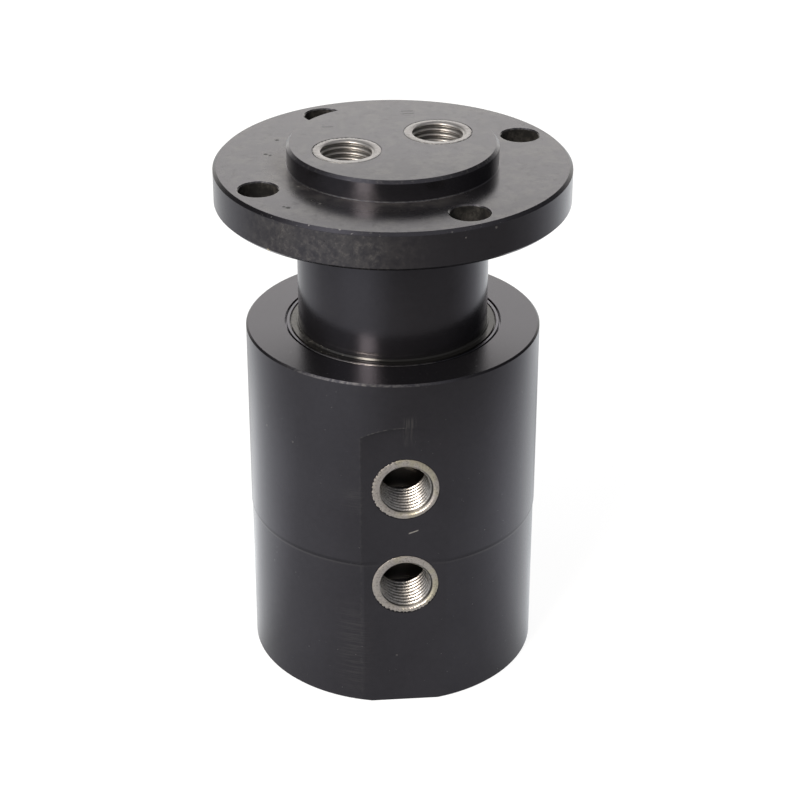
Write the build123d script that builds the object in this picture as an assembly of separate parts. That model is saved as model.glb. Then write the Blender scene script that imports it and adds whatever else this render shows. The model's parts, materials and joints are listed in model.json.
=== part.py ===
from build123d import *
from math import asin, degrees, radians, sin, sqrt, tan
import os

# Two-passage hydraulic rotary union.  A cylindrical housing with two side ports carries a
# flanged shaft with two end ports.  The shaft turns in two bushes, and three rotary seals keep
# the two oil passages apart.  Millimetres, +Z up along the turning axis, origin on that axis at
# the housing's foot, side ports facing -Y.

# ---- driving dimensions: housing ----
housing_diameter = 70.0
housing_height = 87.0
housing_chamfer = 0.45
lower_turning_height = 39.0  # below this the barrel was turned in a second chucking
lower_turning_depth = 0.2  # and came out this much smaller in radius
flat_depth = 1.6  # depth of the milled flat that carries the side ports
flat_height = 76.0  # where the flat runs out
flat_cutter_diameter = 40.0
lower_port_height = 33.0
upper_port_drop = 28.0  # from the housing's top face down to the upper side port

# ---- driving dimensions: rotor ----
shaft_diameter = 45.0
neck_length = 31.0  # shaft seen between housing and flange
flange_diameter = 83.0
flange_thickness = 9.0
flange_chamfer = 0.7
boss_diameter = 49.0  # raised pilot on the flange
boss_height = 5.0
boss_chamfer = 0.7
boss_fillet = 0.2
neck_fillet = 1.0
bolt_circle_diameter = 69.0
bolt_hole_diameter = 9.0  # clearance for M8
bolt_hole_chamfer = 0.3
bolt_count = 4
rotor_rest_angle = 24.1  # degrees from +X to the first bolt hole and the first end port

# ---- driving dimensions: ports and oil passages ----
port_thread_diameter = 13.157  # major diameter of G 1/4
port_face_margin = 1.45  # spot face around the thread
port_face_depth = 0.2
end_port_offset = 12.0
end_port_depth = 16.0
passage_diameter = 8.5
gallery_margin = 0.4  # gallery beyond the side port's hole, above and below
gallery_depth = 3.2
drill_point_angle = 118.0

# ---- driving dimensions: bushes and seals ----
running_clearance = 0.05  # radial, between the shaft and what it turns in
seat_clearance = 0.02  # around pieces that are pressed or pushed into the housing
bush_wall = 2.45
rotary_seal_wall = 1.9
rotary_seal_height = 3.1
seal_groove_play = 0.1
energiser_section = 2.4  # O-ring behind each rotary seal
seal_land = 1.3  # housing wall left between a seal groove and its neighbour
lip_seal_wall = 3.25  # shaft seal in the housing's mouth, shaft to seat
lip_seal_height = 6.3
lip_seal_case = 1.0  # its sheet steel
lip_seal_relief = 0.5  # open groove around its rim
lip_seal_relief_depth = 1.2
lip_seal_rim_gap = 0.36  # between the steel rim and the rubber
lip_seal_rim_fillet = 0.14
lip_seal_sink = 0.05
dust_lip_rise = 0.4  # bead of the rubber that hugs the shaft above the housing
dust_lip_width = 0.45
garter_section = 0.8

# ---- driving dimensions: retaining plate and bottom closure ----
plate_overhang = 3.5  # retaining plate beyond the shaft
plate_thickness = 4.0
thrust_washer_thickness = 1.5
thrust_gap = 0.05  # axial, each side of the retaining plate
cavity_clearance = 1.0  # around the retaining plate
cover_thickness = 5.0
cover_o_ring_section = 2.0
cover_washer_recess = 0.8
circlip_height = 2.0  # foot of the circlip above the housing's foot
circlip_thickness = 2.0
circlip_groove_depth = 1.3
circlip_groove_play = 0.05
circlip_back_width = 4.6
circlip_end_width = 2.4
circlip_lug_radius = 2.9
circlip_hole_diameter = 2.4
circlip_half_gap = 7.0  # degrees
plate_screw_count = 4
plate_screw_circle = 28.0
plate_screw_diameter = 5.0
plate_screw_head = 9.6
plate_screw_length = 14.0
plate_screw_socket = 3.0
plate_pin_diameter = 4.0
plate_pin_length = 9.0
fastener_clearance = 0.05

# ---- places worked out from the driving dimensions ----
housing_radius = housing_diameter / 2
flat_distance = housing_radius - flat_depth
shaft_radius = shaft_diameter / 2
bore_radius = shaft_radius + running_clearance
port_radius = port_thread_diameter / 2
port_face_radius = port_radius + port_face_margin
gallery_half = port_radius + gallery_margin
upper_port_height = housing_height - upper_port_drop
middle_seal_height = (upper_port_height + lower_port_height) / 2

seal_groove_height = rotary_seal_height + seal_groove_play
seal_outer_radius = bore_radius + rotary_seal_wall
seal_groove_radius = seal_outer_radius + energiser_section + 2 * seat_clearance
lower_seal_top = lower_port_height - port_radius - seal_land
lower_seal_height = lower_seal_top - seal_groove_height / 2
upper_seal_bottom = upper_port_height + port_radius + seal_land
upper_seal_height = upper_seal_bottom + seal_groove_height / 2
seal_heights = {"lower": lower_seal_height, "middle": middle_seal_height, "upper": upper_seal_height}

plate_radius = shaft_radius + plate_overhang
cavity_radius = plate_radius + cavity_clearance
circlip_groove_radius = cavity_radius + circlip_groove_depth
circlip_top = circlip_height + circlip_thickness
cover_bottom = circlip_top + circlip_groove_play
cover_top = cover_bottom + cover_thickness
lower_washer_bottom = cover_top - cover_washer_recess
lower_washer_top = lower_washer_bottom + thrust_washer_thickness
lower_washer_radius = cavity_radius - cover_o_ring_section - 1.0
plate_bottom = lower_washer_top + thrust_gap
shaft_bottom = plate_bottom + plate_thickness
upper_washer_bottom = shaft_bottom + thrust_gap
shoulder_height = upper_washer_bottom + thrust_washer_thickness

bush_outer_radius = bore_radius + bush_wall
bush_seat_radius = bush_outer_radius + seat_clearance
lower_bush_top = lower_seal_top - seal_groove_height - seal_land
upper_bush_bottom = upper_seal_bottom + seal_groove_height + seal_land
lip_seat_radius = shaft_radius + lip_seal_wall + running_clearance
lip_seat_bottom = housing_height - lip_seal_height - lip_seal_sink

flange_bottom = housing_height + neck_length
flange_top = flange_bottom + flange_thickness
boss_top = flange_top + boss_height
boss_radius = boss_diameter / 2
flange_radius = flange_diameter / 2


def turned(points):
    """A solid turned about Z from a closed outline of (radius, height) points."""
    outline = Polyline(*[(radius, 0, height) for radius, height in points], close=True)
    return revolve(make_face(outline), Axis.Z)


def ring(inner, outer, bottom, top, edge=0.0):
    """A plain turned ring, its four corners broken by edge."""
    if edge == 0:
        return turned([(inner, bottom), (outer, bottom), (outer, top), (inner, top)])
    return turned(
        [
            (inner + edge, bottom),
            (outer - edge, bottom),
            (outer, bottom + edge),
            (outer, top - edge),
            (outer - edge, top),
            (inner + edge, top),
            (inner, top - edge),
            (inner, bottom + edge),
        ]
    )


def o_ring(middle_radius, height, section):
    """A round-section ring lying flat."""
    return Location((0, 0, height)) * Torus(middle_radius, section / 2)


def upright_rod(x, y, bottom, top, radius):
    """A cylinder standing on bottom."""
    return Location((x, y, (bottom + top) / 2)) * Cylinder(radius, top - bottom)


def side_rod(angle, height, start, end, radius):
    """A cylinder lying radially at a height, from start to end along the direction angle."""
    along = Vector(1, 0, 0).rotate(Axis.Z, angle)
    middle = along * ((start + end) / 2)
    plane = Plane(origin=(middle.X, middle.Y, height), z_dir=along)
    return plane * Cylinder(radius, end - start)


def drill_tip(x, y, bottom, radius):
    """The cone that a drill leaves under a blind hole whose full width ends at bottom."""
    depth = radius / tan(radians(drill_point_angle / 2))
    return Location((x, y, bottom - depth / 2)) * Cone(0.01, radius, depth)


def rotor_point(radius, turn):
    """A point on the rotor at rest, turn degrees on from its first bolt hole."""
    point = Vector(radius, 0, 0).rotate(Axis.Z, rotor_rest_angle + turn)
    return point.X, point.Y


def housing_outline():
    """Half section of the housing: barrel outside, stepped and grooved bore inside."""
    lower_radius = housing_radius - lower_turning_depth
    points = [
        (cavity_radius + housing_chamfer, 0),
        (lower_radius - housing_chamfer, 0),
        (lower_radius, housing_chamfer),
        (lower_radius, lower_turning_height),
        (housing_radius, lower_turning_height + lower_turning_depth),
        (housing_radius, housing_height - housing_chamfer),
        (housing_radius - housing_chamfer, housing_height),
        (lip_seat_radius, housing_height),
        (lip_seat_radius, lip_seat_bottom),
        (bush_seat_radius, lip_seat_bottom),
        (bush_seat_radius, upper_bush_bottom),
        (bore_radius, upper_bush_bottom),
    ]
    for height in sorted(seal_heights.values(), reverse=True):
        groove_top = height + seal_groove_height / 2
        groove_bottom = height - seal_groove_height / 2
        points += [
            (bore_radius, groove_top),
            (seal_groove_radius, groove_top),
            (seal_groove_radius, groove_bottom),
            (bore_radius, groove_bottom),
        ]
    groove_top = circlip_top + circlip_groove_play
    groove_bottom = circlip_height - circlip_groove_play
    points += [
        (bore_radius, lower_bush_top),
        (bush_seat_radius, lower_bush_top),
        (bush_seat_radius, shoulder_height),
        (cavity_radius, shoulder_height),
        (cavity_radius, groove_top),
        (circlip_groove_radius, groove_top),
        (circlip_groove_radius, groove_bottom),
        (cavity_radius, groove_bottom),
        (cavity_radius, housing_chamfer),
    ]
    return points


def milled_flat():
    """What the cutter takes off the barrel: straight sides ending in the cutter's own arc."""
    cutter_radius = flat_cutter_diameter / 2
    arc_height = flat_height - cutter_radius
    beyond = housing_radius + 1
    swept = Location((0, 0, (arc_height - 1) / 2)) * Box(
        flat_cutter_diameter, 2 * beyond, arc_height + 1
    )
    tool = swept + Location((0, 0, arc_height), (90, 0, 0)) * Cylinder(cutter_radius, 2 * beyond)
    keep = Location((0, beyond - flat_distance, flat_height / 2)) * Box(
        3 * beyond, 2 * beyond, 2 * flat_height
    )
    return tool - keep


def make_housing():
    body = turned(housing_outline()) - milled_flat()
    for height in (lower_port_height, upper_port_height):
        outside = housing_radius + 1
        body -= side_rod(-90, height, bore_radius / 2, outside, port_radius)
        body -= side_rod(-90, height, flat_distance - port_face_depth, outside, port_face_radius)
    return body


def make_lip_seal_case():
    """Pressed steel case: an upright wall and a narrow top web, its rim let in below the wall."""
    outer = lip_seat_radius - seat_clearance
    rim = outer + seat_clearance - lip_seal_relief
    top = housing_height - lip_seal_sink
    bottom = lip_seat_bottom + seat_clearance
    inner = outer - lip_seal_case
    web_inner = inner - lip_seal_rim_gap / 2
    case = turned(
        [
            (inner, bottom),
            (outer, bottom),
            (outer, top - lip_seal_relief_depth),
            (rim, top - lip_seal_relief_depth),
            (rim, top),
            (web_inner, top),
            (web_inner, top - lip_seal_case),
            (inner, top - lip_seal_case),
        ]
    )
    return fillet(case.edges().group_by(Axis.Z)[-1], lip_seal_rim_fillet)


def garter_radius():
    """Middle radius of the garter spring, which lies on the back of the rubber lip."""
    return bore_radius + lip_seal_wall / 2 - seat_clearance


def make_lip_seal_rubber():
    """Rubber of the shaft seal: bonded in the case, a main lip below and a dust bead on top."""
    case_inner = lip_seat_radius - 2 * seat_clearance - lip_seal_case
    rim_inner = case_inner - lip_seal_rim_gap / 2 - lip_seal_rim_gap
    back = garter_radius() - garter_section / 2 - seat_clearance
    top = housing_height - lip_seal_sink
    web_bottom = top - lip_seal_case - seat_clearance
    bottom = lip_seat_bottom + 0.3
    waist = bore_radius + 0.5
    return turned(
        [
            (case_inner, web_bottom),
            (case_inner, web_bottom - 1.8),
            (back, web_bottom - 1.8),
            (back, bottom + 0.2),
            (waist, bottom),
            (bore_radius, bottom + 1.4),
            (waist, bottom + 2.6),
            (waist, top - 1.6),
            (bore_radius, top - 0.6),
            (bore_radius, top + dust_lip_rise),
            (bore_radius + dust_lip_width / 2, top + dust_lip_rise),
            (bore_radius + dust_lip_width, top),
            (rim_inner, top),
            (rim_inner, web_bottom),
        ]
    )


def make_garter_spring():
    return o_ring(garter_radius(), lip_seat_bottom + 1.6, garter_section)


def make_rotary_seal(height):
    """Hard sealing ring that the shaft turns in."""
    half = rotary_seal_height / 2
    return ring(bore_radius, seal_outer_radius, height - half, height + half, edge=0.25)


def make_energiser(height):
    """O-ring that presses the rotary seal on the shaft."""
    middle = seal_outer_radius + seat_clearance + energiser_section / 2
    return o_ring(middle, height, energiser_section)


def make_bottom_cover():
    """Disc with an O-ring groove in its rim and a recess that centres the thrust washer."""
    rim = cavity_radius - seat_clearance
    root = cavity_radius - cover_o_ring_section
    middle = (cover_bottom + lower_washer_bottom) / 2
    groove = cover_o_ring_section / 2 + 0.2
    return turned(
        [
            (0, cover_bottom),
            (rim - housing_chamfer, cover_bottom),
            (rim, cover_bottom + housing_chamfer),
            (rim, middle - groove),
            (root, middle - groove),
            (root, middle + groove),
            (rim, middle + groove),
            (rim, cover_top),
            (lower_washer_radius + seat_clearance, cover_top),
            (lower_washer_radius + seat_clearance, lower_washer_bottom),
            (0, lower_washer_bottom),
        ]
    )


def make_cover_o_ring():
    section = cover_o_ring_section - 2 * seat_clearance
    middle = cavity_radius - cover_o_ring_section / 2
    return o_ring(middle, (cover_bottom + lower_washer_bottom) / 2, section)


def make_circlip():
    """Internal retaining ring: widest at the back, with two drilled lugs beside its gap."""
    outer = circlip_groove_radius - seat_clearance
    inner = outer - (circlip_back_width + circlip_end_width) / 2
    shift = (circlip_back_width - circlip_end_width) / 2
    blank = Circle(outer) - Location((0, shift)) * Circle(inner)
    lug_turn = circlip_half_gap + degrees(asin(circlip_lug_radius / outer))
    lugs = []
    for side in (-1, 1):
        place = Vector(0, outer - circlip_lug_radius - 0.8, 0).rotate(Axis.Z, side * lug_turn)
        lugs.append(Location((place.X, place.Y)) * Circle(circlip_lug_radius))
        blank += lugs[-1]
    half_width = outer * sin(radians(circlip_half_gap))
    blank -= Location((0, outer)) * Rectangle(2 * half_width, outer)
    for lug in lugs:
        blank -= Location(lug.center()) * Circle(circlip_hole_diameter / 2)
    return Location((0, 0, circlip_height)) * extrude(blank, circlip_thickness)


def flanged_shaft_outline():
    """Half section of the shaft: plain end, two oil galleries, neck, flange and pilot boss."""
    gallery_root = shaft_radius - gallery_depth
    end_chamfer = 0.5
    points = [(0, shaft_bottom), (shaft_radius - end_chamfer, shaft_bottom)]
    points.append((shaft_radius, shaft_bottom + end_chamfer))
    for height in (lower_port_height, upper_port_height):
        points += [
            (shaft_radius, height - gallery_half),
            (gallery_root, height - gallery_half),
            (gallery_root, height + gallery_half),
            (shaft_radius, height + gallery_half),
        ]
    points += [
        (shaft_radius, flange_bottom - neck_fillet),
        (shaft_radius + neck_fillet, flange_bottom),
        (flange_radius - flange_chamfer, flange_bottom),
        (flange_radius, flange_bottom + flange_chamfer),
        (flange_radius, flange_top - flange_chamfer),
        (flange_radius - flange_chamfer, flange_top),
        (boss_radius + boss_fillet, flange_top),
        (boss_radius, flange_top + boss_fillet),
        (boss_radius, boss_top - boss_chamfer),
        (boss_radius - boss_chamfer, boss_top),
        (0, boss_top),
    ]
    return points


def end_port_and_passage(turn, gallery_height):
    """One end port, the drilling under it and the cross hole out to its gallery."""
    x, y = rotor_point(end_port_offset, turn)
    port_bottom = boss_top - end_port_depth
    passage_radius = passage_diameter / 2
    cut = upright_rod(x, y, port_bottom, boss_top + 1, port_radius)
    cut += upright_rod(x, y, boss_top - port_face_depth, boss_top + 1, port_face_radius)
    cut += drill_tip(x, y, port_bottom, port_radius)
    cut += upright_rod(x, y, gallery_height, port_bottom, passage_radius)
    cut += drill_tip(x, y, gallery_height, passage_radius)
    angle = rotor_rest_angle + turn
    cut += side_rod(angle, gallery_height, end_port_offset, shaft_radius + 1, passage_radius)
    return cut


def bolt_hole(turn):
    """One flange hole with both its edges broken."""
    radius = bolt_hole_diameter / 2
    x, y = rotor_point(bolt_circle_diameter / 2, turn)
    cut = upright_rod(x, y, flange_bottom - 1, flange_top + 1, radius)
    for height, low, high in (
        (flange_top - bolt_hole_chamfer / 2, radius, radius + bolt_hole_chamfer),
        (flange_bottom + bolt_hole_chamfer / 2, radius + bolt_hole_chamfer, radius),
    ):
        cut += Location((x, y, height)) * Cone(low, high, bolt_hole_chamfer)
    return cut


def plate_screw(turn, clearance=0.0):
    """Countersunk screw through the retaining plate, or its hole when clearance is given."""
    x, y = rotor_point(plate_screw_circle / 2, turn)
    radius = plate_screw_diameter / 2 + clearance
    head = plate_screw_head / 2 + clearance
    head_height = head - radius
    shank = upright_rod(x, y, plate_bottom, plate_bottom + plate_screw_length + clearance, radius)
    cone = Location((x, y, plate_bottom + head_height / 2)) * Cone(head, radius, head_height)
    screw = shank + cone
    if clearance == 0:
        hexagon = RegularPolygon(plate_screw_socket / 2, 6, major_radius=False)
        screw -= Location((x, y, plate_bottom)) * extrude(hexagon, 2.2)
    return screw


def plate_pin(turn, clearance=0.0):
    """Dowel pin between the retaining plate and the shaft, or its hole."""
    x, y = rotor_point(plate_screw_circle / 2, turn)
    bottom = plate_bottom + 0.5 - clearance
    radius = plate_pin_diameter / 2 + clearance
    return upright_rod(x, y, bottom, bottom + plate_pin_length + 2 * clearance, radius)


screw_turns = [45 + step * 360 / plate_screw_count for step in range(plate_screw_count)]
pin_turns = [0, 180]
bolt_turns = [step * 360 / bolt_count for step in range(bolt_count)]


def cut_plate_fasteners(body):
    for turn in screw_turns:
        body -= plate_screw(turn, fastener_clearance)
    for turn in pin_turns:
        body -= plate_pin(turn, fastener_clearance)
    return body


def make_flanged_shaft():
    body = turned(flanged_shaft_outline())
    body -= end_port_and_passage(0, upper_port_height)
    body -= end_port_and_passage(180, lower_port_height)
    for turn in bolt_turns:
        body -= bolt_hole(turn)
    return cut_plate_fasteners(body)


def make_retaining_plate():
    plate = ring(0, plate_radius, plate_bottom, shaft_bottom)
    plate = chamfer(plate.edges().filter_by(GeomType.CIRCLE), 0.4)
    return cut_plate_fasteners(plate)


def make_nodes():
    lower_bush_bottom = shoulder_height + seat_clearance
    upper_bush_top = lip_seat_bottom - seat_clearance
    washer_inner = bore_radius + 0.2
    nodes = {
        "housing": make_housing(),
        "shaft_seal_case": make_lip_seal_case(),
        "shaft_seal_rubber": make_lip_seal_rubber(),
        "shaft_seal_spring": make_garter_spring(),
        "upper_bush": ring(
            bore_radius, bush_outer_radius, upper_bush_bottom + seat_clearance, upper_bush_top, 0.3
        ),
        "lower_bush": ring(
            bore_radius, bush_outer_radius, lower_bush_bottom, lower_bush_top - seat_clearance, 0.3
        ),
        "upper_thrust_washer": ring(
            washer_inner, cavity_radius - 0.1, upper_washer_bottom, shoulder_height
        ),
        "lower_thrust_washer": ring(
            shaft_radius - 5, lower_washer_radius, lower_washer_bottom, lower_washer_top
        ),
        "bottom_cover": make_bottom_cover(),
        "cover_o_ring": make_cover_o_ring(),
        "cover_circlip": make_circlip(),
        "flanged_shaft": make_flanged_shaft(),
        "retaining_plate": make_retaining_plate(),
        "retaining_plate_screws": Compound([plate_screw(turn) for turn in screw_turns]),
        "retaining_plate_pins": Compound([plate_pin(turn) for turn in pin_turns]),
    }
    for name, height in seal_heights.items():
        nodes["rotary_seal_" + name] = make_rotary_seal(height)
        nodes["energiser_ring_" + name] = make_energiser(height)
    return nodes


os.makedirs("parts", exist_ok=True)
for name, shape in make_nodes().items():
    export_step(shape, os.path.join("parts", name + ".step"))
    print(name, round(shape.volume))
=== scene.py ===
"""Hydraulic rotary union: finishes, port threads, stage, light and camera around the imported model.

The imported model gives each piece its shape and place. This script gives the pieces their finishes,
adds the bright threads and cut faces of the four ports, and sets floor, light and camera. Sizes and
places are in millimetres unless a name or comment says otherwise."""

import json
import math

import bpy
from mathutils import Matrix, Vector

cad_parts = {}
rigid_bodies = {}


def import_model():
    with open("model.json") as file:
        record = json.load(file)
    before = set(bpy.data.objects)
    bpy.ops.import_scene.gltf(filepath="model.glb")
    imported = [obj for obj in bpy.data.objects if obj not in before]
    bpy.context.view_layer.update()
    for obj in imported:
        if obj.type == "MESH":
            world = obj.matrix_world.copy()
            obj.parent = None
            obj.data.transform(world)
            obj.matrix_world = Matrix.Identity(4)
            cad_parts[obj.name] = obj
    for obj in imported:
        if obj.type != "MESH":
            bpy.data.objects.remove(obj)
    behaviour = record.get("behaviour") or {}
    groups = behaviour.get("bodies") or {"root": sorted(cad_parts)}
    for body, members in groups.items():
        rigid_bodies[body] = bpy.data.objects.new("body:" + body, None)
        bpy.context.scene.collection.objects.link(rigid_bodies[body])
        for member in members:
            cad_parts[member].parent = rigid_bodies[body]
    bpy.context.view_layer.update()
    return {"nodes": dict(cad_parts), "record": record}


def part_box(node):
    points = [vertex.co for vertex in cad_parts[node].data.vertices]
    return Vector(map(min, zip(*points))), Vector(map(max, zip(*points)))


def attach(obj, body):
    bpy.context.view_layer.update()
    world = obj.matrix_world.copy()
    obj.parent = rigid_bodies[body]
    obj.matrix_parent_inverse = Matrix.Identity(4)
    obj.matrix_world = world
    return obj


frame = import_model()
nodes = frame["nodes"]
mounts = {mount["name"]: mount for mount in frame["record"]["mounts"]}

MM = 0.001

# ---------------------------------------------------------------- sizes of the union

housing_low, housing_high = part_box("housing")
shaft_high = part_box("flanged_shaft")[1]

HOUSING_RADIUS = round((housing_high.x - housing_low.x) / 2 / MM, 1)
HOUSING_TOP = round(housing_high.z / MM, 1)
SEAM_HEIGHT = 39.0  # where the barrel's two turned diameters meet
FLAT_DISTANCE = HOUSING_RADIUS - 1.6  # from the axis to the flat that carries the side ports
FLAT_HALF_WIDTH = math.sqrt(HOUSING_RADIUS ** 2 - FLAT_DISTANCE ** 2)
FLAT_TOP = 76.0
CUTTER_RADIUS = 20.0  # of the cutter that rounded the flat's top
CUTTER_HEIGHT = FLAT_TOP - CUTTER_RADIUS

FLANGE_RADIUS = round(shaft_high.x / MM, 1)
BOSS_TOP = round(shaft_high.z / MM, 1)
FLANGE_TOP = BOSS_TOP - 5.0
BOSS_RADIUS = 24.5
SEAL_RIM_RADIUS = 24.95
BOLT_CIRCLE_RADIUS = 34.5
BOLT_HOLE_RADIUS = 4.5
BOLT_START = 24.1  # degrees from +X to the first bolt hole
NECK_HEIGHT = 100.0  # on the neck, with the side ports below and the end ports above

THREAD_PITCH = 1.337
THREAD_CREST = 5.72
THREAD_ROOT = 6.56
SLEEVE_RADIUS = 6.575
MOUTH_RADIUS = 6.15
FACE_RADIUS = 7.85
FACE_THICKNESS = 0.17
FACE_EDGE = 0.03  # bevel round the cut face
FACE_TEETH = 0.22  # how far the cut face's ragged edge goes in and out
CHATTER_TEETH = 47.0  # round the whole edge
SIDE_THREAD_DEPTH = 10.6
END_THREAD_DEPTH = 15.0


# ---------------------------------------------------------------- node maths


class Socket:
    """A socket of a node tree that takes part in arithmetic by adding Math nodes."""

    def __init__(self, board, plug):
        self.board = board
        self.plug = plug

    def maths(self, operation, *values):
        return self.board.add("ShaderNodeMath", values, operation=operation)

    def __add__(self, other):
        return self.maths("ADD", self, other)

    def __sub__(self, other):
        return self.maths("SUBTRACT", self, other)

    def __rsub__(self, other):
        return self.maths("SUBTRACT", other, self)

    def __mul__(self, other):
        return self.maths("MULTIPLY", self, other)

    def __truediv__(self, other):
        return self.maths("DIVIDE", self, other)

    def __neg__(self):
        return self.maths("MULTIPLY", self, -1.0)

    def __abs__(self):
        return self.maths("ABSOLUTE", self)

    __radd__ = __add__
    __rmul__ = __mul__

    def sine(self):
        return self.maths("SINE", self)

    def cosine(self):
        return self.maths("COSINE", self)

    def arcsine(self):
        return self.maths("ARCSINE", self)

    def angle(self, other):
        """Angle in radians whose tangent is this over the other."""
        return self.maths("ARCTAN2", self, other)

    def root(self):
        return self.maths("SQRT", self)

    def rounded(self):
        return self.maths("ROUND", self)

    def least(self, other):
        return self.maths("MINIMUM", self, other)

    def most(self, other):
        return self.maths("MAXIMUM", self, other)

    def is_near(self, other, reach):
        return self.maths("COMPARE", self, other, reach)

    def step(self, zero_at, one_at):
        """0 at one value and 1 at another, smoothly, whichever of them is the larger."""
        return self.board.add(
            "ShaderNodeMapRange",
            {"Value": self, "From Min": zero_at, "From Max": one_at},
            interpolation_type="SMOOTHSTEP",
        )

    def above(self, edge, softness):
        return self.step(edge - softness / 2, edge + softness / 2)

    def below(self, edge, softness):
        return 1 - self.above(edge, softness)

    def between(self, low, high, softness):
        return self.above(low, softness) * self.below(high, softness)


class Board:
    """A node tree that is written to by adding nodes and handing on their sockets."""

    def __init__(self, tree):
        self.tree = tree

    def fill(self, slot, value):
        """Sets a node's input, or links it where the value is a socket."""
        if isinstance(value, Socket):
            self.tree.links.new(value.plug, slot)
        elif isinstance(value, bpy.types.NodeSocket):
            self.tree.links.new(value, slot)
        else:
            slot.default_value = value

    def add(self, kind, values=(), output=0, stops=None, **settings):
        """Adds a node, sets its settings, then its inputs by order or by name, and gives a socket."""
        node = self.tree.nodes.new(kind)
        for name, setting in settings.items():
            setattr(node, name, setting)
        if stops:
            ramp = node.color_ramp
            while len(ramp.elements) < len(stops):
                ramp.elements.new(0.5)
            for element, (position, colour) in zip(ramp.elements, stops):
                element.position = position
                element.color = colour
        pairs = values.items() if isinstance(values, dict) else enumerate(values)
        for name, value in pairs:
            self.fill(node.inputs[name], value)
        return Socket(self, node.outputs[output])

    def mix(self, share, first, second):
        """Colour that goes from first to second as share goes from 0 to 1."""
        node = self.tree.nodes.new("ShaderNodeMix")
        node.data_type = "RGBA"
        for slot, value in ((0, share), (6, first), (7, second)):
            self.fill(node.inputs[slot], value)
        return Socket(self, node.outputs[2])

    def join(self, x, y, z):
        return self.add("ShaderNodeCombineXYZ", (x, y, z))

    def split(self, vector):
        node = self.add("ShaderNodeSeparateXYZ", (vector,)).plug.node
        return [Socket(self, plug) for plug in node.outputs]

    def noise(self, place, scale, detail=3.0, roughness=0.5):
        """Noise from 0 to 1 at a place in millimetres, scale in lumps per millimetre."""
        values = {"Vector": place, "Scale": scale, "Detail": detail, "Roughness": roughness}
        return self.add("ShaderNodeTexNoise", values)


# ---------------------------------------------------------------- finishes


class Finish(Board):
    """A material with one Principled shader, built up from layers.

    Places are on the object in millimetres; turn is from the ported side, positive toward +X."""

    def __init__(self, name, shade=None, roughness=None, metallic=1.0):
        self.material = bpy.data.materials.new(name)
        self.material.use_nodes = True
        super().__init__(self.material.node_tree)
        self.shade = shade
        self.roughness = roughness
        self.metallic = metallic
        coordinates = self.tree.nodes.new("ShaderNodeTexCoord")
        self.place = self.add(
            "ShaderNodeVectorMath", (coordinates.outputs["Object"], (1 / MM,) * 3), operation="MULTIPLY"
        )
        self.x, self.y, self.z = self.split(self.place)
        self.radius = (self.x * self.x + self.y * self.y).root()
        self.turn = self.x.angle(-self.y) * (180 / math.pi)

    def cover(self, share, shade, roughness, metallic=None):
        """Covers what is there with another look where share goes to 1."""
        self.shade = self.mix(share, self.shade, shade)
        self.roughness = self.roughness + (roughness - self.roughness) * share
        if metallic is not None:
            self.metallic = self.metallic + (metallic - self.metallic) * share

    def done(self, height=None, depth=0.0):
        """Writes the layers to the shader, with a bump of that depth in millimetres."""
        shader = self.tree.nodes["Principled BSDF"]
        self.fill(shader.inputs["Base Color"], self.shade)
        self.fill(shader.inputs["Roughness"], self.roughness)
        self.fill(shader.inputs["Metallic"], self.metallic)
        if height is not None:
            values = {"Height": height, "Distance": depth * MM, "Strength": 1.0}
            self.fill(shader.inputs["Normal"], self.add("ShaderNodeBump", values))
        return self.material

    def lumps(self, size, detail=3.0, roughness=0.5):
        """Noise with lumps of about that size in millimetres."""
        return self.noise(self.place, 1 / size, detail, roughness)

    def wear(self):
        """Fine noise that breaks up a worn edge."""
        return self.lumps(0.7, 2.0)

    def clouds(self):
        """Uneven patches of a few millimetres, as dust and oil leave."""
        return self.lumps(3.5, 6.0, 0.7)

    def turned_lines(self, pitch, drift=0.004):
        """Noise that runs round the turning axis: rings on faces, level lines on sides."""
        across = self.join(self.radius / pitch, self.z / pitch, self.turn * (drift / pitch))
        return self.noise(across, 1.0, 2.0, 0.6)

    def streaks(self, across, along):
        """Noise drawn out round the axis: lumps of those sizes in millimetres up and round."""
        stretched = self.join(self.turn * (0.6 / along), self.z / across, 0.0)
        return self.noise(stretched, 1.0, 3.0, 0.6)

    def arc(self, start, end, softness=10.0):
        """1 between two turns in degrees."""
        return self.turn.between(start, end, softness)

    def ring(self, radius, height, reach):
        """1 close to a circle round the axis, such as an edge."""
        out = self.radius - radius
        up = self.z - height
        return (out * out + up * up).root().below(reach, reach * 0.6)

    def dot(self, place, reach):
        """1 close to a place in millimetres."""
        away = self.add("ShaderNodeVectorMath", (self.place, place), "Value", operation="DISTANCE")
        return away.below(reach, reach * 0.8)


def grey(level, warmth=0.0):
    """A linear colour near grey; warmth above 0 leans to yellow and below 0 to blue."""
    return (level * (1 + warmth), level, level * (1 - warmth), 1.0)


def oxide(level):
    """Blue black of the oxide at a brightness."""
    return (level * 1.0, level * 0.975, level * 1.13, 1.0)


BARE = (0.5, 0.48, 0.45, 1.0)
SCUFFED = (0.2, 0.195, 0.19, 1.0)
RUBBED = (0.12, 0.118, 0.115, 1.0)
DUST = (0.27, 0.255, 0.23, 1.0)
DIRT = (0.19, 0.18, 0.165, 1.0)
GRIT = (0.55, 0.5, 0.36, 1.0)
OILY = (0.03, 0.03, 0.03, 1.0)


def black_oxide(name, marks=()):
    """Blackened turned steel: satin, with fine turning lines, an uneven film and its own marks."""
    finish = Finish(name, metallic=0.87)
    lines = finish.turned_lines(0.12)
    film = finish.lumps(16.0, 4.0)
    grain = finish.lumps(1.3, 4.0, 0.65)
    finish.shade = finish.mix((film + grain) * 0.5, oxide(0.05), oxide(0.086))
    finish.roughness = 0.1 + 0.1 * film + 0.06 * grain + 0.03 * lines
    for mark in marks:
        mark(finish)
    return finish.done(lines + grain, 0.004)


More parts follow.
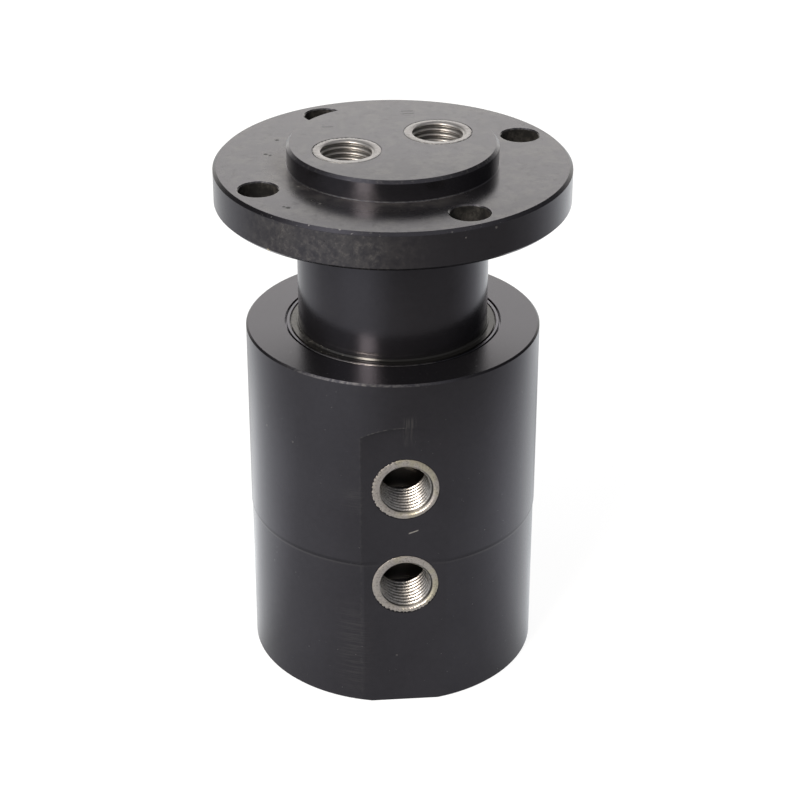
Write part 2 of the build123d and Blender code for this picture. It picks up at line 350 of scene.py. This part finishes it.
# ---- marks of the housing ----


def bare_bore(finish):
    """Bare metal inside the housing."""
    inside = finish.radius.below(HOUSING_RADIUS - 2.2, 0.3) * finish.z.between(0.9, HOUSING_TOP - 1.0, 0.4)
    finish.cover(inside, grey(0.5, 0.04), 0.4, 1.0)


def barrel_seam(finish):
    """Seam of the two turned diameters: a dark line of painted shade with a faint painted highlight under
    it.
    """
    around = finish.radius.above(HOUSING_RADIUS - 1.0, 0.1) * (1 - 0.5 * finish.arc(-20, 25, 20))
    dark = finish.z.between(SEAM_HEIGHT - 0.1, SEAM_HEIGHT + 0.75, 0.4)
    bright = finish.z.between(SEAM_HEIGHT - 0.6, SEAM_HEIGHT - 0.2, 0.2)
    # painted shade and a faint painted highlight along the seam, in place of the light and shade of its
    # small step
    finish.cover(around * dark * 0.5, oxide(0.03), 0.3)
    finish.cover(around * bright * 0.2, SCUFFED, 0.3)


def barrel_top(finish):
    """Rim worn bright at the front and darkened round the back as a painted dark reflection, and a darker,
    specked front of the top.
    """
    rim = finish.ring(HOUSING_RADIUS - 0.15, HOUSING_TOP - 0.15, 0.34)
    finish.cover(rim * finish.arc(-48, 6, 20) * finish.wear().above(0.5, 0.3) * 0.25, BARE, 0.3, 1.0)
    # painted reflection: the rim darkened away from the front
    finish.cover(rim * (1 - finish.arc(-58, 20, 16)) * 0.7, oxide(0.02), 0.3)
    top = finish.z.is_near(HOUSING_TOP, 0.03) * finish.arc(-75, 60, 40)
    finish.cover(top * 0.8, oxide(0.058), 0.27)
    finish.cover(top * finish.lumps(0.8, 5.0, 0.8).above(0.62, 0.1) * 0.2, SCUFFED, 0.35)


def barrel_side(finish):
    """1 on the housing's outer surface, off its rim."""
    return finish.radius.above(FLAT_DISTANCE - 0.2, 0.1) * finish.z.below(HOUSING_TOP - 0.5, 0.2)


def on_flat(finish, edge=0.4, softness=0.5):
    """1 from that far behind the flat to the front."""
    return (-finish.y).above(FLAT_DISTANCE - edge, softness)


def milling_marks(finish):
    """Streaks beside the flat, and the curved and straight edges that the cutter left."""
    x, z = finish.x, finish.z
    streaks = finish.streaks(0.3, 9.0).above(0.54, 0.2)
    low_patch = finish.arc(-26, -15, 9) * z.between(4, 26, 12)
    high_patch = finish.arc(-24, -16, 6) * z.between(54, 59, 4)
    patches = low_patch.most(high_patch)
    finish.cover(barrel_side(finish) * streaks * patches * 0.22, SCUFFED, 0.35)

    wear = finish.wear()
    up = z - CUTTER_HEIGHT
    from_cutter = (x * x + up * up).root() - CUTTER_RADIUS
    curved = abs(from_cutter).below(0.14, 0.1) * z.above(FLAT_TOP - 8.0, 1.0) * on_flat(finish, 1.4)
    curved = curved * x.between(-FLAT_HALF_WIDTH, 1.0, 3.0)
    finish.cover(curved * wear.above(0.5, 0.16) * 0.7, SCUFFED, 0.3)
    straight = abs(x + FLAT_HALF_WIDTH).below(0.3, 0.4) * z.below(FLAT_TOP - 3.0, 0.5)
    straight = straight * on_flat(finish, softness=0.2)
    finish.cover(straight * wear.above(0.55, 0.2) * 0.12, SCUFFED, 0.35)


def barrel_scratches(finish):
    """Hair scratches above the upper port, a nick between the ports and small specks."""
    x, z = finish.x, finish.z
    flat = on_flat(finish, softness=0.2)
    hairs = finish.noise(finish.join(x / 0.22, 0.0, z / 9.0), 1.0, 2.0, 0.6).above(0.56, 0.08)
    above_port = x.between(-0.6, 2.2, 0.6) * z.between(70.5, 78.5, 1.5)
    finish.cover(hairs * above_port * flat * 0.4, SCUFFED, 0.35)
    nick = abs(z - 47.4 - (x - 1.8) * 0.35).below(0.16, 0.12) * x.between(0.8, 3.0, 0.4)
    finish.cover(nick * flat, BARE, 0.35)
    specks = finish.lumps(0.5, 1.0).above(0.8, 0.03) * barrel_side(finish)
    for place in ((-25.5, -24.0, 67.7), (-31.2, -15.9, 68.0), (-2.0, -33.4, 13.0)):
        specks = specks.most(finish.dot(place, 0.24))
    finish.cover(specks * 0.7, SCUFFED, 0.4)


# ---- marks of the flanged shaft ----


def bare_passages(finish):
    """Bare metal in the shaft's ports and oil passages."""
    inside = finish.radius.below(20.0, 0.4) * finish.z.below(BOSS_TOP - 1.0, 0.4)
    finish.cover(inside, grey(0.3, 0.06), 0.35, 1.0)


def top_faces(finish):
    """Flange and boss tops: darker at the front as painted shade in place of their dimmer reflection
    there, dusty round the boss, scratched and rubbed.
    """
    flange_top = finish.z.is_near(FLANGE_TOP, 0.03) * finish.radius.above(BOSS_RADIUS - 0.2, 0.2)
    boss_top = finish.z.is_near(BOSS_TOP, 0.03)
    # painted shade: the fronts of the flange and boss tops darkened, standing in for their dimmer
    # reflection there
    finish.cover(flange_top * (-finish.y).above(24.0, 22.0) * 0.45, oxide(0.045), 0.24)
    finish.cover(boss_top * (-finish.y).above(14.0, 16.0) * 0.6, oxide(0.046), 0.2)
    foot = flange_top * finish.radius.below(BOSS_RADIUS + 4.5, 7.0) * finish.arc(-110, 30, 40)
    finish.cover(foot * 0.5, oxide(0.08), 0.5)
    finish.cover(foot * (0.06 + 0.2 * finish.clouds().above(0.5, 0.3)), DUST, 0.5, 0.0)
    finish.cover(foot * finish.lumps(0.45, 1.0).above(0.72, 0.06) * 0.6, DUST, 0.6, 0.0)
    tops = flange_top.most(boss_top)
    scratched = finish.lumps(2.2, 6.0, 0.75).above(0.58, 0.12)
    finish.cover(tops * scratched * 0.3, oxide(0.035), 0.35)
    rubbed = finish.lumps(5.0, 6.0, 0.75).above(0.54, 0.16)
    finish.cover(tops * rubbed * 0.3, RUBBED, 0.2)


def flange_side(finish):
    """Dust and dark handling marks on the flange's side, left of the ports, and thin streaks."""
    side = finish.radius.above(FLANGE_RADIUS - 0.5, 0.2) * finish.z.below(FLANGE_TOP - 0.8, 0.3)
    handled = side * finish.arc(-52, -2, 30)
    finish.cover(handled * finish.clouds().above(0.5, 0.35) * 0.16, DUST, 0.5, 0.2)
    finish.cover(handled * finish.lumps(1.3, 6.0, 0.75).above(0.56, 0.2) * 0.2, DUST, 0.5, 0.2)
    finish.cover(handled * finish.lumps(0.9, 4.0, 0.8).above(0.66, 0.08) * 0.6, oxide(0.02), 0.4)
    finish.cover(side * finish.streaks(0.3, 2.0).above(0.72, 0.05) * 0.3, SCUFFED, 0.4)


def shaft_edges(finish):
    """Edges of flange and boss, dark at the back as a painted dark reflection on the flange's chamfer, and
    chipped at the front.
    """
    wear = finish.wear()
    chamfer = finish.ring(FLANGE_RADIUS - 0.35, FLANGE_TOP - 0.35, 0.5)
    # painted reflection: the flange's chamfer darkened away from the front
    finish.cover(chamfer * (1 - finish.arc(-40, 60, 30)) * 0.8, oxide(0.02), 0.3)
    finish.cover(chamfer * wear.above(0.7, 0.08) * finish.arc(-50, 50, 30) * 0.5, BARE, 0.35, 1.0)
    boss_edge = finish.ring(BOSS_RADIUS - 0.3, BOSS_TOP - 0.3, 0.4)
    finish.cover(boss_edge * wear.above(0.6, 0.1) * 0.4, SCUFFED, 0.35)
    boss_foot = finish.ring(BOSS_RADIUS + 0.05, FLANGE_TOP, 0.28) * finish.arc(-60, 40, 30)
    finish.cover(boss_foot * wear.above(0.5, 0.2) * 0.4, SCUFFED, 0.35)


def port_tallies(finish):
    """One stroke behind the left end port and two behind the right."""
    one = abs(finish.y - 10.3).below(0.25, 0.2) * finish.x.between(-15.8, -13.0, 0.3)
    two = abs(abs(finish.y - 18.2) - 0.85).below(0.25, 0.2) * finish.x.between(3.6, 6.6, 0.3)
    finish.cover(one.most(two) * finish.z.is_near(BOSS_TOP, 0.03) * 0.6, oxide(0.015), 0.45)


def bolt_holes(finish):
    """Oily walls with crumbs of dirt, and lips worn bright."""
    nearest = None
    for quarter in range(4):
        angle = math.radians(BOLT_START + 90 * quarter)
        across = finish.x - BOLT_CIRCLE_RADIUS * math.cos(angle)
        along = finish.y - BOLT_CIRCLE_RADIUS * math.sin(angle)
        away = (across * across + along * along).root()
        nearest = away if nearest is None else nearest.least(away)
    wall = nearest.below(BOLT_HOLE_RADIUS + 0.15, 0.1)
    finish.cover(wall * finish.z.below(FLANGE_TOP - 0.25, 0.2), OILY, 0.3, 0.5)
    crumbs = finish.clouds().above(0.5, 0.2) * finish.lumps(0.6, 4.0, 0.8).above(0.45, 0.2)
    finish.cover(wall * finish.z.below(FLANGE_TOP - 0.5, 0.3) * crumbs * 0.3, DIRT, 0.6, 0.2)
    lip = nearest.between(BOLT_HOLE_RADIUS - 0.02, BOLT_HOLE_RADIUS + 0.45, 0.15)
    lip = lip * finish.z.above(FLANGE_TOP - 0.5, 0.2)
    finish.cover(lip * finish.wear().above(0.55, 0.3) * 0.2, BARE, 0.35, 1.0)


def pits_and_chips(finish):
    """Dark pits on the flange's top, pale chips near its edge and the boss, and grit on its lower edge."""
    for place, reach in (
        ((-25.3, -25.2, FLANGE_TOP), 0.55),
        ((-26.2, -24.6, FLANGE_TOP), 0.35),
        ((-29.0, 7.0, FLANGE_TOP), 0.5),
        ((-28.0, 6.2, FLANGE_TOP), 0.4),
        ((-26.0, 15.8, FLANGE_TOP), 0.5),
    ):
        finish.cover(finish.dot(place, reach) * 0.85, oxide(0.015), 0.5)
    broken = finish.wear().above(0.35, 0.3)
    for place, reach in (
        ((19.2, -36.8, 125.6), 0.3),
        ((7.6, -40.8, 126.8), 0.22),
        ((8.2, -40.6, 126.7), 0.2),
        ((12.3, -39.6, 124.7), 0.2),
        ((-22.5, -13.2, FLANGE_TOP), 0.3),
        ((-18.2, -23.5, FLANGE_TOP), 0.25),
    ):
        finish.cover(finish.dot(place, reach) * broken, SCUFFED, 0.45, 0.4)
    finish.cover(finish.dot((-30.1, -28.6, 118.2), 0.6), GRIT, 0.6, 0.0)


HOUSING_MARKS = (bare_bore, barrel_seam, barrel_top, milling_marks, barrel_scratches)
SHAFT_MARKS = (
    bare_passages, top_faces, flange_side, shaft_edges, port_tallies, bolt_holes, pits_and_chips,
)


# ---- the other finishes ----


def port_steel():
    """Freshly cut steel in the ports: bright crests, roots darkened as painted shade, scratched face."""
    finish = Finish("port_steel")
    grain = finish.lumps(0.35, 4.0, 0.6)
    groove = finish.add("ShaderNodeAttribute", output="Fac", attribute_name="groove")
    face = finish.add("ShaderNodeAttribute", output="Fac", attribute_name="face")
    on_end = finish.z.above(NECK_HEIGHT, 1.0)
    on_side = 1 - on_end
    finish.shade = finish.mix(grain, grey(0.42, 0.03), grey(0.62, 0.02))
    finish.roughness = 0.18 + 0.24 * grain + 0.12 * on_end
    # painted shade: the thread roots darkened, strongly in the side ports and less in the end ports
    finish.cover(groove.above(0.45, 0.3) * (0.92 - 0.45 * on_end), (0.03, 0.028, 0.027, 1.0), 0.4)
    ring = finish.mix(grain, (0.46, 0.43, 0.41, 1.0), (0.68, 0.65, 0.62, 1.0))
    finish.cover(face, ring, 0.42, 0.85)
    # painted shade: the upward cut faces of the end ports get a darker grey than the side ports' faces
    finish.cover(face * on_end, (0.36, 0.35, 0.35, 1.0), 0.4, 0.95)
    stained = finish.lumps(4.5, 2.0).above(0.54, 0.15) * face * on_side
    finish.cover(stained * 0.4, (0.58, 0.55, 0.33, 1.0), 0.42)
    nicks = finish.lumps(0.45, 4.0, 0.8).above(0.58, 0.1) * face
    finish.cover(nicks * 0.7, (0.1, 0.09, 0.08, 1.0), 0.5)
    torn = finish.lumps(0.4, 4.0, 0.8).above(0.54, 0.14) * (1 - face) * on_side
    finish.cover(torn * 0.65, (0.05, 0.047, 0.044, 1.0), 0.45)
    return finish.done(grain, 0.02)


def plain_metal(name, colour, roughness):
    """Turned or drawn metal of one colour."""
    finish = Finish(name)
    lines = finish.turned_lines(0.15)
    finish.shade = finish.mix(lines, colour, [0.85 * part for part in colour[:3]] + [1.0])
    finish.roughness = roughness + 0.1 * lines
    return finish.done(lines, 0.004)


def seal_case():
    """Dark case of the shaft seal, with a rim worn bright at the front."""
    finish = Finish("seal_case_steel", oxide(0.09), 0.2)
    rim = finish.ring(SEAL_RIM_RADIUS, HOUSING_TOP - 0.05, 0.3) * finish.lumps(0.8, 2.0).above(0.42, 0.14)
    finish.cover(rim * finish.arc(-55, 20, 20), BARE, 0.25)
    return finish.done(finish.turned_lines(0.15), 0.003)


def rubber():
    """Nitrile rubber, satin from oil, with pale dust caught on it."""
    finish = Finish("nitrile_rubber", grey(0.025), 0.16, 0.6)
    dust = finish.lumps(0.8, 5.0, 0.7)
    finish.cover(dust.above(0.5, 0.3) * 0.15 * finish.arc(-150, -50, 30), DUST, 0.4)
    finish.cover(finish.lumps(0.35, 1.0).above(0.72, 0.05) * finish.arc(-120, -40, 30), DUST, 0.5, 0.0)
    return finish.done(dust, 0.02)


def filled_ptfe():
    """Bronze-filled slide rings: brown with fine darker specks."""
    finish = Finish("filled_ptfe", roughness=0.5, metallic=0.0)
    finish.shade = finish.mix(finish.lumps(0.25, 2.0), (0.1, 0.07, 0.045, 1.0), (0.22, 0.15, 0.08, 1.0))
    return finish.done()


finishes = {
    "black_oxide_steel": black_oxide("black_oxide_steel"),
    "bare_steel": plain_metal("bare_steel", grey(0.5), 0.3),
    "seal_case_steel": seal_case(),
    "spring_steel": plain_metal("spring_steel", grey(0.12), 0.35),
    "screw_steel": plain_metal("screw_steel", grey(0.09), 0.35),
    "nitrile_rubber": rubber(),
    "bronze": plain_metal("bronze", (0.62, 0.4, 0.18, 1.0), 0.32),
    "filled_ptfe": filled_ptfe(),
}
marked = {
    "housing": black_oxide("housing_oxide", HOUSING_MARKS),
    "flanged_shaft": black_oxide("flanged_shaft_oxide", SHAFT_MARKS),
}
fresh_steel = port_steel()

for part in frame["record"]["subparts"]:
    slots = nodes[part["node"]].data.materials
    slots.clear()
    slots.append(marked.get(part["node"], finishes[part["material_slot"]]))


# ---------------------------------------------------------------- port threads

ROWS_PER_PITCH = 11
STEPS_AROUND = 288
LEAD_ROWS = 5  # grid rows before the thread: down the sleeve and over the face
CREST_SHARPNESS = 0.9  # near 0 for round crests, 1 for sharp ones


class Shape(Board):
    """A Geometry Nodes tree with named number inputs."""

    def __init__(self, name, inputs):
        tree = bpy.data.node_groups.new(name, "GeometryNodeTree")
        super().__init__(tree)
        face = tree.interface
        face.new_socket("Geometry", in_out="OUTPUT", socket_type="NodeSocketGeometry")
        self.ids = {}
        for label, value in inputs.items():
            kind = "NodeSocketInt" if isinstance(value, int) else "NodeSocketFloat"
            socket = face.new_socket(label, in_out="INPUT", socket_type=kind)
            socket.default_value = value
            self.ids[label] = socket.identifier
        entry = tree.nodes.new("NodeGroupInput")
        self.inputs = {label: Socket(self, entry.outputs[label]) for label in inputs}

    def finish(self, geometry, material):
        """Ends the tree: instances made real, material set."""
        real = self.add("GeometryNodeRealizeInstances", (geometry,))
        painted = self.add("GeometryNodeSetMaterial", {"Geometry": real, "Material": material})
        exit_node = self.tree.nodes.new("NodeGroupOutput")
        self.fill(exit_node.inputs[0], painted)

    def bake(self, name, values):
        """Runs the tree with these input values and gives a plain mesh object."""
        carrier = bpy.data.objects.new(name + "_carrier", bpy.data.meshes.new(name + "_carrier"))
        bpy.context.scene.collection.objects.link(carrier)
        modifier = carrier.modifiers.new("shape", "NODES")
        modifier.node_group = self.tree
        for label, value in values.items():
            modifier[self.ids[label]] = value
        seen = carrier.evaluated_get(bpy.context.evaluated_depsgraph_get())
        mesh = bpy.data.meshes.new_from_object(seen)
        mesh.name = name
        bpy.data.objects.remove(carrier)
        piece = bpy.data.objects.new(name, mesh)
        bpy.context.scene.collection.objects.link(piece)
        return piece


def thread_wave(deep, turn):
    """-1 at a crest and 1 at a root of the helix, at a depth and a turn in radians."""
    phase = (deep * (-1 / THREAD_PITCH) - turn / math.tau) * math.tau
    return (phase.cosine() * CREST_SHARPNESS).arcsine() / math.asin(CREST_SHARPNESS)


def ragged_rim(shape, turn, spin, teeth):
    """Radius of the cut face's edge, torn unevenly and with chatter teeth on one side."""
    around = turn + spin
    circle = shape.join(around.cosine() * 3.0, around.sine() * 3.0, spin)
    ragged = shape.noise(circle, 1.6, 4.0, 0.75) - 0.5
    side = around.cosine().above(0.35, 0.7)
    chatter = (turn * CHATTER_TEETH + ragged * 14.0).sine().above(0.2, 0.5) * side
    return FACE_RADIUS + teeth * (ragged - chatter)


def thread_tree():
    """Bright steel of a tapped port: helical ridges, trimmed mouth and the cut face round it.

    The port's axis is Z with the mouth at 0. Rows of a grid are wrapped round the axis: down the
    sleeve's outside, out under the face, over its rim, in to the mouth and down the thread."""
    shape = Shape(
        "port_thread", {"Depth": END_THREAD_DEPTH, "Spin": 0.0, "Teeth": FACE_TEETH, "Wave rows": 120}
    )
    depth, spin, teeth = shape.inputs["Depth"], shape.inputs["Spin"], shape.inputs["Teeth"]
    wave_rows = shape.inputs["Wave rows"]
    rows = wave_rows + (LEAD_ROWS + 2)
    grid = shape.add(
        "GeometryNodeMeshGrid",
        {"Size X": 1.0, "Size Y": 1.0, "Vertices X": STEPS_AROUND + 1, "Vertices Y": rows},
    )
    along, across, _ = shape.split(shape.add("GeometryNodeInputPosition"))
    turn = (along + 0.5) * math.tau
    row = ((across + 0.5) * (rows - 1)).rounded()

    deep = ((row - LEAD_ROWS) / wave_rows).most(0.0).least(1.0) * depth
    wave = thread_wave(deep, turn)
    middle = (THREAD_CREST + THREAD_ROOT) / 2
    reach = (THREAD_ROOT - THREAD_CREST) / 2
    radius = (wave * reach + middle).most(MOUTH_RADIUS - deep)
    height = -deep
    rim = ragged_rim(shape, turn, spin, teeth)
    lead = (
        (SLEEVE_RADIUS, -depth),
        (SLEEVE_RADIUS, -FACE_THICKNESS),
        (rim, -FACE_THICKNESS),
        (rim, -FACE_EDGE),
        (rim - 0.05, 0.0),
    )
    for index, (lead_radius, lead_height) in enumerate(lead):
        here = row.is_near(index, 0.1)
        radius = radius * (1 - here) + here * lead_radius
        height = height * (1 - here) + here * lead_height
    last = row.is_near(rows - 1, 0.1)
    radius = radius * (1 - last) + last * SLEEVE_RADIUS
    place = shape.join(radius * turn.cosine() * MM, radius * turn.sine() * MM, height * MM)

    on_face = row.is_near(3.5, 1.6)  # rows 2 to 5
    groove = (wave * 0.5 + 0.5) * (1 - on_face)
    for label, value in (("groove", groove), ("face", on_face)):
        grid = shape.add(
            "GeometryNodeStoreNamedAttribute", {"Geometry": grid, "Name": label, "Value": value}
        )
    wrapped = shape.add("GeometryNodeSetPosition", {"Geometry": grid, "Position": place})
    closed = shape.add("GeometryNodeMergeByDistance", {"Geometry": wrapped, "Distance": 1e-6})
    smooth = shape.add("GeometryNodeSetShadeSmooth", (closed,))
    shape.finish(smooth, fresh_steel)
    return shape


def port_thread(shape, mount_name, body, depth, spin):
    """The bright thread and face of one port, put at its mount; spin in radians."""
    rows = round(depth / THREAD_PITCH * ROWS_PER_PITCH)
    values = {"Depth": depth, "Spin": spin, "Teeth": FACE_TEETH, "Wave rows": rows}
    piece = shape.bake(mount_name + "_thread", values)
    mouth = Vector(mounts[mount_name]["pos_m"])
    if body == "housing":
        mouth.y = -FLAT_DISTANCE * MM
    else:
        mouth.z = BOSS_TOP * MM
    axis = Vector(mounts[mount_name]["axis"])
    turn = Vector((0, 0, 1)).rotation_difference(axis).to_matrix().to_4x4()
    piece.data.transform(Matrix.Translation(mouth) @ turn)
    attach(piece, body)


thread = thread_tree()
port_thread(thread, "side_port_upper", "housing", SIDE_THREAD_DEPTH, math.pi)
port_thread(thread, "side_port_lower", "housing", SIDE_THREAD_DEPTH, math.pi / 2)
port_thread(thread, "end_port_a", "rotor", END_THREAD_DEPTH, 1.0)
port_thread(thread, "end_port_b", "rotor", END_THREAD_DEPTH, 4.0)


# ---------------------------------------------------------------- stage, light and camera

CAMERA_TURN = math.radians(-5.1)  # from straight in front of the side ports, negative to the left
CAMERA_PITCH = math.radians(27.908)
CAMERA_DISTANCE = 13.495  # from the axis, in housing radii
CAMERA_HEIGHT = 9.0  # above the floor, in housing radii
CAMERA_LENS = 98.79
CAMERA_SENSOR = 36.0
CAMERA_SHIFT = 0.009

ROOM_LIGHT = 0.12
FRONT_LIGHT = 0.14
LEFT_LIGHT = 0.8
TOP_LIGHT = 0.2
BACK_LIGHT = 1.62
WINDOW_LIGHT = 27.0
WINDOW_TURN = math.radians(-31)  # from the camera's side to the window, negative to its left

# the floor's glow in the metal, by bearing in degrees to the right of the camera's side
GLOW_NEAR = {
    -180: 0.35, -150: 0.62, -130: 1.3, -110: 1.05, -90: 0.85, -70: 0.46, -30: 0.31, 0: 0.22,
    50: 0.32, 70: 0.52, 90: 0.88, 115: 1.05, 135: 0.85, 155: 0.2, 180: 0.35,
}
GLOW_FAR = {
    -180: 0.55, -150: 0.62, -110: 0.5, -90: 0.3, -70: 0.3, -50: 0.42, -30: 0.42, 0: 0.08,
    20: 0.04, 70: 0.04, 90: 0.18, 110: 0.52, 130: 0.9, 150: 0.95, 180: 0.55,
}
GLOW_NEAR_REACH = 0.1  # metres from the axis
GLOW_FAR_REACH = 0.23
FLOOR_SIZE = 8.0  # metres
FLOOR_GREY = 0.2
FLOOR_WHITE = 0.92


def bearing(x, y):
    """Cosine of the bearing from the camera's side, and how far round to its right, -1 to 1."""
    reach = (x * x + y * y).root().most(1e-6)
    ahead = (x * math.sin(CAMERA_TURN) - y * math.cos(CAMERA_TURN)) / reach
    right = (x * math.cos(CAMERA_TURN) + y * math.sin(CAMERA_TURN)) / reach
    return ahead, right


def studio_world():
    """Soft studio: white to the camera; to the metal, bright low down behind and dim elsewhere."""
    world = bpy.data.worlds.new("studio")
    world.use_nodes = True
    board = Board(world.node_tree)
    coordinates = world.node_tree.nodes.new("ShaderNodeTexCoord")
    x, y, z = board.split(coordinates.outputs["Generated"])
    ahead, right = bearing(x, y)
    front = ahead.step(-0.3, 0.5)
    left_front = front * right.step(-0.4, -0.8)
    overhead = z.step(0.6, 1.0)
    room = ROOM_LIGHT + front * FRONT_LIGHT + left_front * LEFT_LIGHT + overhead * TOP_LIGHT
    back = ahead.step(-0.62, -0.98) * z.step(0.75, 0.45) * BACK_LIGHT
    toward_window = ahead * math.cos(WINDOW_TURN) + right * math.sin(WINDOW_TURN)
    window = toward_window.step(0.98, 0.9985) * z.between(0.34, 0.72, 0.2) * WINDOW_LIGHT
    red = room + back * 1.03 + window
    green = room + back + window * 0.9
    blue = room * 1.03 + back * 0.95 + window * 0.78
    light = world.node_tree.nodes["Background"]
    board.fill(light.inputs["Color"], board.join(red, green, blue))
    white = board.add("ShaderNodeBackground", {"Color": (1.0, 1.0, 1.0, 1.0)})
    path = world.node_tree.nodes.new("ShaderNodeLightPath")
    seen = board.add("ShaderNodeMixShader", (path.outputs["Is Camera Ray"], light.outputs[0], white))
    board.fill(world.node_tree.nodes["World Output"].inputs["Surface"], seen)
    bpy.context.scene.world = world


def glow_ramp(board, turn, levels):
    """Brightness at a bearing in radians, from levels at bearings in degrees."""
    stops = [(degrees / 360 + 0.5, grey(level, -0.03)) for degrees, level in levels.items()]
    return board.add("ShaderNodeValToRGB", (turn / math.tau + 0.5,), stops=stops)


def pale_floor():
    """Large floor: white with a soft shadow to the camera; to the metal, paler behind the part."""
    bpy.ops.mesh.primitive_plane_add(size=FLOOR_SIZE, location=(0, 0, 0))
    floor = bpy.context.object
    floor.name = "floor"
    material = bpy.data.materials.new("floor_paint")
    material.use_nodes = True
    material.cycles.emission_sampling = "NONE"
    tree = material.node_tree
    tree.nodes.remove(tree.nodes["Principled BSDF"])
    board = Board(tree)
    coordinates = tree.nodes.new("ShaderNodeTexCoord")
    x, y, _ = board.split(coordinates.outputs["Object"])
    ahead, right = bearing(x, y)
    turn = right.angle(ahead)
    far = (x * x + y * y).root().step(GLOW_NEAR_REACH, GLOW_FAR_REACH)
    level = board.mix(far, glow_ramp(board, turn, GLOW_NEAR), glow_ramp(board, turn, GLOW_FAR))
    paint = board.add("ShaderNodeBsdfDiffuse", {"Color": grey(FLOOR_GREY)})
    to_metal = board.add("ShaderNodeEmission", {"Color": level, "Strength": 1.0})
    to_camera = board.add("ShaderNodeEmission", {"Color": grey(1.0), "Strength": FLOOR_WHITE})
    path = tree.nodes.new("ShaderNodeLightPath")
    glow = board.add("ShaderNodeMixShader", (path.outputs["Is Camera Ray"], to_metal, to_camera))
    both = board.add("ShaderNodeAddShader", (paint, glow))
    board.fill(tree.nodes["Material Output"].inputs["Surface"], both)
    floor.data.materials.append(material)


def camera():
    """Above and a little to the left of the side ports, with a long lens."""
    unit = (housing_high.x - housing_low.x) / 2
    distance = CAMERA_DISTANCE * unit
    data = bpy.data.cameras.new("camera")
    data.lens = CAMERA_LENS
    data.sensor_width = CAMERA_SENSOR
    data.shift_x = CAMERA_SHIFT
    data.clip_end = 20.0
    eye = bpy.data.objects.new("camera", data)
    eye.location = (
        distance * math.sin(CAMERA_TURN), -distance * math.cos(CAMERA_TURN), CAMERA_HEIGHT * unit
    )
    eye.rotation_euler = (math.pi / 2 - CAMERA_PITCH, 0.0, CAMERA_TURN)
    bpy.context.scene.collection.objects.link(eye)
    bpy.context.scene.camera = eye


studio_world()
pale_floor()
camera()
bpy.context.scene.view_settings.view_transform = "Standard"
